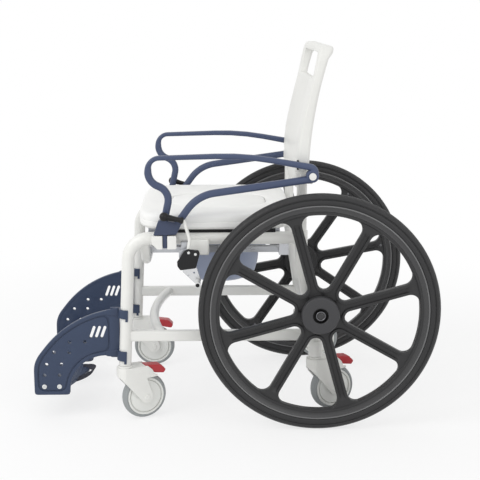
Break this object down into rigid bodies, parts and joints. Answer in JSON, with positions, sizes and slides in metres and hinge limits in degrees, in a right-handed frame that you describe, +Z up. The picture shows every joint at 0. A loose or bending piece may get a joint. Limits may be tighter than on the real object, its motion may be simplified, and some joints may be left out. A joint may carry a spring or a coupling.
{
  "type": "shower commode chair",
  "caption": "Self-propelled shower commode chair: white tube frame, spoked drive wheels, braked casters, swing-up armrests, swing-away footrests, slide-out pan.",
  "frame": {"origin": "floor level, under the middle of the chair's length and width", "axes": "+X to the user's left, the chair faces -Y, +Z up"},
  "size_m": [0.66, 1.04, 0.963],
  "materials": {
    "frame_paint": "satin powder coat",
    "white_moulding": "smooth moulded",
    "seat_foam": "soft integral-skin foam",
    "black_rubber": "matt",
    "zinc_steel": "zinc plated",
    "black_plastic": "matt moulded",
    "charcoal_plastic": "satin moulded",
    "tyre_rubber": "matt",
    "caster_rubber": "smooth grey tyre on a pale disc wheel",
    "red_plastic": "smooth moulded",
    "navy_plastic": "fine grain moulded",
    "blue_plastic": "fine grain moulded",
    "strap_webbing": "woven",
    "pan_plastic": "translucent moulded"
  },
  "bodies": {
    "frame": {"seat_rail_left": "frame_paint", "seat_rail_right": "frame_paint", "lower_rail_left": "frame_paint", "lower_rail_right": "frame_paint", "rear_leg_left": "frame_paint", "rear_leg_right": "frame_paint", "front_cross_tube": "frame_paint", "lower_cross_tube": "frame_paint", "rear_cross_tube": "frame_paint", "back_posts": "frame_paint", "back_shell": "white_moulding", "seat": "seat_foam", "pan_runners": "zinc_steel", "seat_strips": "black_rubber", "armrest_sockets": "white_moulding", "armrest_pivots": "zinc_steel", "lock_plates": "black_plastic", "axle_left": "zinc_steel", "axle_right": "zinc_steel"},
    "drive_wheel_left": {"wheel_left": "charcoal_plastic", "tyre_left": "tyre_rubber", "hub_cap_left": "charcoal_plastic", "bearings_left": "zinc_steel"},
    "drive_wheel_right": {"wheel_right": "charcoal_plastic", "tyre_right": "tyre_rubber", "hub_cap_right": "charcoal_plastic", "bearings_right": "zinc_steel"},
    "release_button_left": {"release_button_left": "black_plastic"},
    "release_button_right": {"release_button_right": "black_plastic"},
    "armrest_left": {"armrest_left": "blue_plastic", "armrest_foot_left": "navy_plastic"},
    "armrest_right": {"armrest_right": "blue_plastic", "armrest_foot_right": "navy_plastic"},
    "lock_lever_left": {"lock_lever_left": "zinc_steel", "lock_grip_left": "black_plastic"},
    "lock_lever_right": {"lock_lever_right": "zinc_steel", "lock_grip_right": "black_plastic"},
    "lock_shoe_left": {"lock_shoe_left": "zinc_steel"},
    "lock_shoe_right": {"lock_shoe_right": "zinc_steel"},
    "footrest_left": {"foot_panel_left": "navy_plastic"},
    "footrest_right": {"foot_panel_right": "navy_plastic"},
    "footplate_left": {"footplate_left": "navy_plastic", "heel_strap_left": "strap_webbing"},
    "footplate_right": {"footplate_right": "navy_plastic", "heel_strap_right": "strap_webbing"},
    "pan": {"pan": "pan_plastic"},
    "seat_cover": {"seat_cover": "seat_foam"},
    "caster_fork_front_left": {"caster_fork_front_left": "white_moulding"},
    "caster_wheel_front_left": {"caster_wheel_front_left": "caster_rubber"},
    "brake_pedal_front_left": {"brake_pedal_front_left": "red_plastic"},
    "caster_fork_front_right": {"caster_fork_front_right": "white_moulding"},
    "caster_wheel_front_right": {"caster_wheel_front_right": "caster_rubber"},
    "brake_pedal_front_right": {"brake_pedal_front_right": "red_plastic"},
    "caster_fork_rear_left": {"caster_fork_rear_left": "white_moulding"},
    "caster_wheel_rear_left": {"caster_wheel_rear_left": "caster_rubber"},
    "brake_pedal_rear_left": {"brake_pedal_rear_left": "red_plastic"},
    "caster_fork_rear_right": {"caster_fork_rear_right": "white_moulding"},
    "caster_wheel_rear_right": {"caster_wheel_rear_right": "caster_rubber"},
    "brake_pedal_rear_right": {"brake_pedal_rear_right": "red_plastic"}
  },
  "joints": [
    {"name": "drive_spin_left", "type": "hinge", "parent": "frame", "child": "drive_wheel_left", "pos_m": [0.3, 0.215, 0.305], "axis": [1, 0, 0], "continuous": true},
    {"name": "release_press_left", "type": "slide", "parent": "frame", "child": "release_button_left", "axis": [-1, 0, 0], "range_m": [0, 0.004], "stiffness_N_per_m": 500},
    {"name": "armrest_lift_left", "type": "hinge", "parent": "frame", "child": "armrest_left", "pos_m": [0.2625, 0.195, 0.647], "axis": [-1, 0, 0], "range_deg": [0, 92]},
    {"name": "lock_lever_left", "type": "hinge", "parent": "frame", "child": "lock_lever_left", "pos_m": [0.2815, -0.11564, 0.44671], "axis": [1, 0, 0], "range_deg": [0, 40]},
    {"name": "lock_shoe_left", "type": "hinge", "parent": "frame", "child": "lock_shoe_left", "pos_m": [0.2675, -0.10664, 0.4237], "axis": [1, 0, 0], "range_deg": [0, 4.2]},
    {"name": "footrest_swing_left", "type": "hinge", "parent": "frame", "child": "footrest_left", "pos_m": [0.228, -0.281, 0.15], "axis": [0, 0.0478, 0.9989], "range_deg": [0, 90]},
    {"name": "footplate_flip_left", "type": "hinge", "parent": "footrest_left", "child": "footplate_left", "pos_m": [0.196, -0.475, 0.08], "axis": [0, 1, 0], "range_deg": [0, 70]},
    {"name": "drive_spin_right", "type": "hinge", "parent": "frame", "child": "drive_wheel_right", "pos_m": [-0.3, 0.215, 0.305], "axis": [1, 0, 0], "continuous": true},
    {"name": "release_press_right", "type": "slide", "parent": "frame", "child": "release_button_right", "axis": [1, 0, 0], "range_m": [0, 0.004], "stiffness_N_per_m": 500},
    {"name": "armrest_lift_right", "type": "hinge", "parent": "frame", "child": "armrest_right", "pos_m": [-0.2625, 0.195, 0.647], "axis": [-1, 0, 0], "range_deg": [0, 92]},
    {"name": "lock_lever_right", "type": "hinge", "parent": "frame", "child": "lock_lever_right", "pos_m": [-0.2815, -0.11564, 0.44671], "axis": [1, 0, 0], "range_deg": [0, 40]},
    {"name": "lock_shoe_right", "type": "hinge", "parent": "frame", "child": "lock_shoe_right", "pos_m": [-0.2675, -0.10664, 0.4237], "axis": [1, 0, 0], "range_deg": [0, 4.2]},
    {"name": "footrest_swing_right", "type": "hinge", "parent": "frame", "child": "footrest_right", "pos_m": [-0.228, -0.281, 0.15], "axis": [0, -0.0478, -0.9989], "range_deg": [0, 90]},
    {"name": "footplate_flip_right", "type": "hinge", "parent": "footrest_right", "child": "footplate_right", "pos_m": [-0.196, -0.475, 0.08], "axis": [0, -1, 0], "range_deg": [0, 70]},
    {"name": "pan_slide", "type": "slide", "parent": "frame", "child": "pan", "axis": [0, 1, 0], "range_m": [0, 0.3]},
    {"name": "seat_cover_lift", "type": "slide", "parent": "frame", "child": "seat_cover", "axis": [0, 0, 1], "range_m": [0, 0.15]},
    {"name": "caster_swivel_front_left", "type": "hinge", "parent": "frame", "child": "caster_fork_front_left", "pos_m": [0.228, -0.28, 0.15], "axis": [0, 0, 1], "continuous": true},
    {"name": "caster_spin_front_left", "type": "hinge", "parent": "caster_fork_front_left", "child": "caster_wheel_front_left", "pos_m": [0.20608, -0.23506, 0.06], "axis": [0.8988, 0.4384, 0], "continuous": true},
    {"name": "caster_brake_front_left", "type": "hinge", "parent": "caster_fork_front_left", "child": "brake_pedal_front_left", "pos_m": [0.21397, -0.25124, 0.134], "axis": [-0.8988, -0.4384, 0], "range_deg": [0, 8]},
    {"name": "caster_swivel_front_right", "type": "hinge", "parent": "frame", "child": "caster_fork_front_right", "pos_m": [-0.228, -0.28, 0.15], "axis": [0, 0, -1], "continuous": true},
    {"name": "caster_spin_front_right", "type": "hinge", "parent": "caster_fork_front_right", "child": "caster_wheel_front_right", "pos_m": [-0.228, -0.23, 0.06], "axis": [1, 0, 0], "continuous": true},
    {"name": "caster_brake_front_right", "type": "hinge", "parent": "caster_fork_front_right", "child": "brake_pedal_front_right", "pos_m": [-0.228, -0.248, 0.134], "axis": [-1, 0, 0], "range_deg": [0, 8]},
    {"name": "caster_swivel_rear_left", "type": "hinge", "parent": "frame", "child": "caster_fork_rear_left", "pos_m": [0.228, 0.212, 0.171], "axis": [0, 0, 1], "range_deg": [-45, 175]},
    {"name": "caster_spin_rear_left", "type": "hinge", "parent": "caster_fork_rear_left", "child": "caster_wheel_rear_left", "pos_m": [0.20846, 0.25803, 0.081], "axis": [0.9205, 0.3907, 0], "continuous": true},
    {"name": "caster_brake_rear_left", "type": "hinge", "parent": "caster_fork_rear_left", "child": "brake_pedal_rear_left", "pos_m": [0.2155, 0.24146, 0.155], "axis": [-0.9205, -0.3907, 0], "range_deg": [0, 8]},
    {"name": "caster_swivel_rear_right", "type": "hinge", "parent": "frame", "child": "caster_fork_rear_right", "pos_m": [-0.228, 0.212, 0.171], "axis": [0, 0, -1], "range_deg": [-22, 198]},
    {"name": "caster_spin_rear_right", "type": "hinge", "parent": "caster_fork_rear_right", "child": "caster_wheel_rear_right", "pos_m": [-0.228, 0.262, 0.081], "axis": [1, 0, 0], "continuous": true},
    {"name": "caster_brake_rear_right", "type": "hinge", "parent": "caster_fork_rear_right", "child": "brake_pedal_rear_right", "pos_m": [-0.228, 0.244, 0.155], "axis": [-1, 0, 0], "range_deg": [0, 8]}
  ],
  "couplings": [
    {"joint": "lock_shoe_left", "follows": "lock_lever_left", "ratio": 0.105},
    {"joint": "lock_shoe_right", "follows": "lock_lever_right", "ratio": 0.105}
  ]
}
